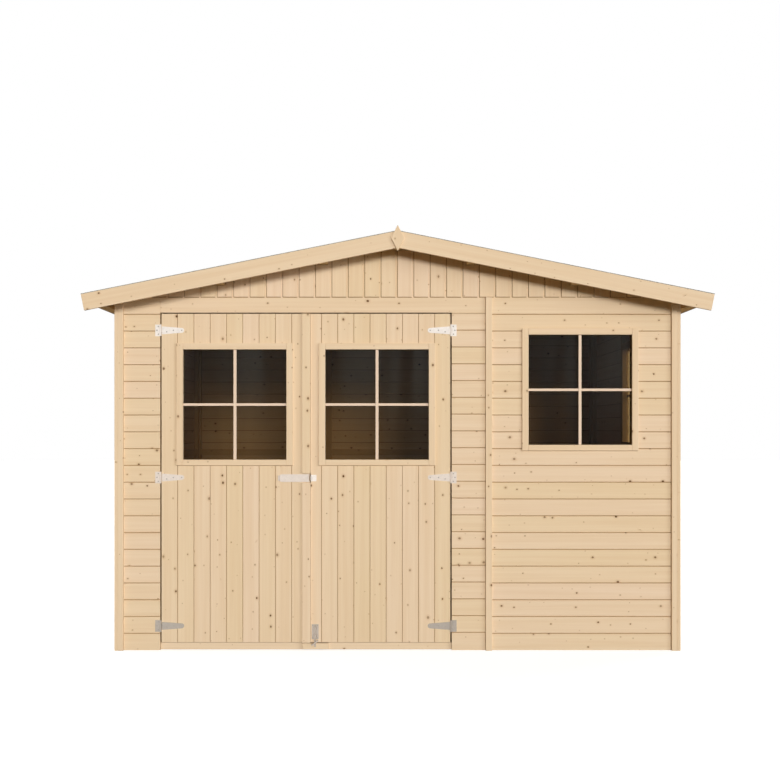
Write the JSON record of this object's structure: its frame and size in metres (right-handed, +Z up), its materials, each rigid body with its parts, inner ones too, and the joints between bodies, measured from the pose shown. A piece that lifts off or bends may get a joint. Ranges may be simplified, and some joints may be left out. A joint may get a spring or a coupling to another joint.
{
  "type": "wooden garden shed",
  "caption": "Shallow-gabled wooden garden shed of natural spruce boards, with glazed double doors, small square windows, boarded fascias and a felt roof.",
  "frame": {"origin": "centre of the whole shed's bounding box at ground level, under the ridge", "axes": "+X to the right as seen from the doors, +Y from the doors to the back wall, +Z up"},
  "size_m": [3.332, 2.372, 2.2695],
  "materials": {
    "spruce_boards": "planed, untreated",
    "spruce_framing": "sawn and planed, untreated",
    "window_glass": "clear",
    "roofing_felt": "matt mineral surface",
    "zinc_steel": "zinc plated"
  },
  "bodies": {
    "shed": {"floor_bearers": "spruce_framing", "floor_deck": "spruce_framing", "door_sill": "spruce_framing", "bolt_block": "spruce_boards", "front_left_panel": "spruce_boards", "front_middle_panel": "spruce_boards", "front_window_panel": "spruce_boards", "front_header": "spruce_boards", "front_framing": "spruce_framing", "back_wall": "spruce_boards", "back_framing": "spruce_framing", "left_wall": "spruce_boards", "left_framing": "spruce_framing", "right_wall": "spruce_boards", "right_framing": "spruce_framing", "front_gable": "spruce_boards", "back_gable": "spruce_boards", "purlins": "spruce_framing", "roof_deck": "spruce_framing", "eave_battens": "spruce_framing", "roof_felt": "roofing_felt", "front_fascia": "spruce_boards", "back_fascia": "spruce_boards", "gable_diamonds": "spruce_boards", "face_trims": "spruce_boards", "side_trims": "spruce_boards", "front_window_casing": "spruce_boards", "side_window_casing": "spruce_boards", "wall_window_panes": "window_glass", "hinge_plates": "zinc_steel"},
    "left_door": {"left_door_leaf": "spruce_boards", "left_door_ledges": "spruce_framing", "left_door_casing": "spruce_boards", "left_door_pane": "window_glass", "left_door_straps": "zinc_steel", "meeting_strip": "spruce_boards", "hasp_base": "zinc_steel"},
    "hasp": {"hasp_arm": "zinc_steel"},
    "right_door": {"right_door_leaf": "spruce_boards", "right_door_ledges": "spruce_framing", "right_door_casing": "spruce_boards", "right_door_pane": "window_glass", "right_door_straps": "zinc_steel", "staple_plate": "zinc_steel", "bolt_case": "zinc_steel"},
    "bolt": {"bolt_rod": "zinc_steel"}
  },
  "joints": [
    {"name": "left_door_hinge", "type": "hinge", "parent": "shed", "child": "left_door", "pos_m": [-1.282, -1.0193, 0.936], "axis": [0, 0, -1], "range_deg": [0, 150]},
    {"name": "hasp_hinge", "type": "hinge", "parent": "left_door", "child": "hasp", "pos_m": [-0.6427, -1.0193, 0.933], "axis": [0, 0, -1], "range_deg": [0, 170]},
    {"name": "right_door_hinge", "type": "hinge", "parent": "shed", "child": "right_door", "pos_m": [0.29, -1.0193, 0.936], "axis": [0, 0, 1], "range_deg": [0, 150]},
    {"name": "bolt_slide", "type": "slide", "parent": "right_door", "child": "bolt", "axis": [0, 0, 1], "range_m": [0, 0.024]}
  ]
}
